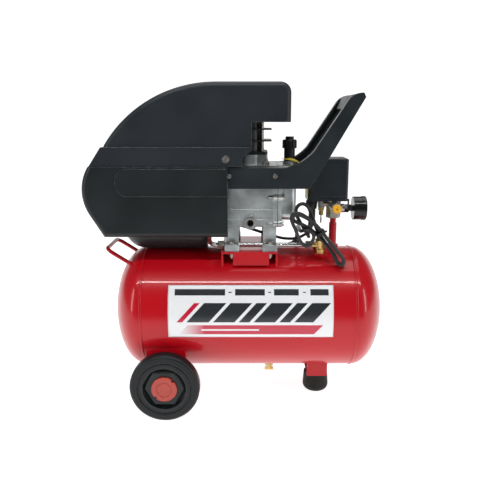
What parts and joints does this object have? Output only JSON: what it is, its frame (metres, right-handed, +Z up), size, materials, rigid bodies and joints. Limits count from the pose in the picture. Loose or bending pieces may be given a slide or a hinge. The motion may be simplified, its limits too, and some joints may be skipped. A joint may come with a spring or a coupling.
{
  "type": "horizontal tank air compressor",
  "caption": "Portable oil-lubricated piston air compressor on a horizontal air tank, with wheels, carry handle, pressure switch, gauge and tied-up mains cord.",
  "frame": {"origin": "on the floor under the middle of the object's length and width", "axes": "+X along the tank from the wheels to the carry handle, +Y across it to the side away from the label, +Z up"},
  "size_m": [0.593, 0.302, 0.647],
  "materials": {
    "red_paint": "gloss powder coat",
    "zinc_steel": "zinc plated",
    "foot_rubber": "matte",
    "cast_aluminium": "as cast, blasted",
    "grey_iron": "machined and as cast",
    "black_plastic": "fine grain",
    "shroud_plastic": "satin",
    "sight_plastic": "clear",
    "bare_aluminium": "drawn tube",
    "brass": "turned",
    "cord_rubber": "satin sheath",
    "tyre_rubber": "solid rubber",
    "hub_plastic": "fine grain",
    "red_plastic": "moulded",
    "needle_red": "painted",
    "yellow_plastic": "moulded",
    "label_film": "printed film"
  },
  "bodies": {
    "frame": {"tank_barrel": "red_paint", "tank_ends": "red_paint", "tank_ports": "red_paint", "tank_handle_rod": "red_paint", "pump_platform": "red_paint", "wheel_brackets": "red_paint", "foot_bracket": "red_paint", "riser_pipe": "red_paint", "axle_bolts": "zinc_steel", "pump_bolts": "zinc_steel", "mounting_bolts": "zinc_steel", "panel_screws": "zinc_steel", "rubber_foot": "foot_rubber", "gaskets": "foot_rubber", "crankcase": "cast_aluminium", "end_cover": "cast_aluminium", "cylinder_head": "cast_aluminium", "motor_end_bracket": "cast_aluminium", "manifold": "cast_aluminium", "crank_disc": "cast_aluminium", "piston": "cast_aluminium", "cylinder": "grey_iron", "valve_plate": "grey_iron", "connecting_rod": "grey_iron", "stator": "grey_iron", "bearings": "grey_iron", "air_filter": "black_plastic", "carry_handle": "black_plastic", "run_capacitor": "black_plastic", "shroud_lower": "shroud_plastic", "shroud_upper": "shroud_plastic", "sight_glass": "sight_plastic", "discharge_pipe": "bare_aluminium", "pipe_nuts": "brass", "check_valve": "brass", "safety_valve": "brass", "drain_body": "brass", "gauge_case": "black_plastic", "switch_base": "black_plastic", "switch_cover": "black_plastic", "cable_glands": "black_plastic", "power_cord": "cord_rubber", "motor_lead": "cord_rubber", "power_cord_hank": "cord_rubber", "power_plug": "cord_rubber"},
    "wheel_front": {"tyre_front": "tyre_rubber", "wheel_hub_front": "hub_plastic", "wheel_cap_front": "red_plastic"},
    "wheel_rear": {"tyre_rear": "tyre_rubber", "wheel_hub_rear": "hub_plastic", "wheel_cap_rear": "red_plastic"},
    "motor_spindle": {"motor_shaft": "grey_iron", "rotor": "grey_iron", "fan": "black_plastic"},
    "needle": {"gauge_needle": "needle_red"},
    "lever": {"switch_lever": "black_plastic"},
    "valve_ring": {"safety_ring": "zinc_steel"},
    "drain_spindle": {"drain_screw": "brass"},
    "filler_cap": {"oil_filler_cap": "black_plastic"},
    "outlet_plug": {"outlet_cap": "yellow_plastic"}
  },
  "joints": [
    {"name": "wheel_front_spin", "type": "hinge", "parent": "frame", "child": "wheel_front", "pos_m": [-0.1425, -0.135, 0.0685], "axis": [0, 1, 0], "continuous": true},
    {"name": "wheel_rear_spin", "type": "hinge", "parent": "frame", "child": "wheel_rear", "pos_m": [-0.1425, 0.135, 0.0685], "axis": [0, 1, 0], "continuous": true},
    {"name": "motor_spin", "type": "hinge", "parent": "frame", "child": "motor_spindle", "pos_m": [0, 0, 0.431], "axis": [1, 0, 0], "continuous": true},
    {"name": "gauge_needle_sweep", "type": "hinge", "parent": "frame", "child": "needle", "pos_m": [0.2565, 0, 0.4], "axis": [-1, 0, 0], "range_deg": [0, 270]},
    {"name": "switch_lever_flip", "type": "hinge", "parent": "frame", "child": "lever", "pos_m": [0.221, -0.029, 0.423], "axis": [0, -1, 0], "range_deg": [0, 20]},
    {"name": "safety_ring_pull", "type": "slide", "parent": "frame", "child": "valve_ring", "axis": [0, 0, -1], "range_m": [0, 0.003], "stiffness_N_per_m": 200},
    {"name": "drain_screw_turn", "type": "hinge", "parent": "frame", "child": "drain_spindle", "pos_m": [0.0655, 0, 0.05], "axis": [0, 0, 1], "range_deg": [0, 360]},
    {"name": "oil_cap_lift", "type": "slide", "parent": "frame", "child": "filler_cap", "axis": [0, 0, 1], "range_m": [0, 0.025]},
    {"name": "outlet_cap_pull", "type": "slide", "parent": "frame", "child": "outlet_plug", "axis": [0, -1, 0], "range_m": [0, 0.03]}
  ]
}
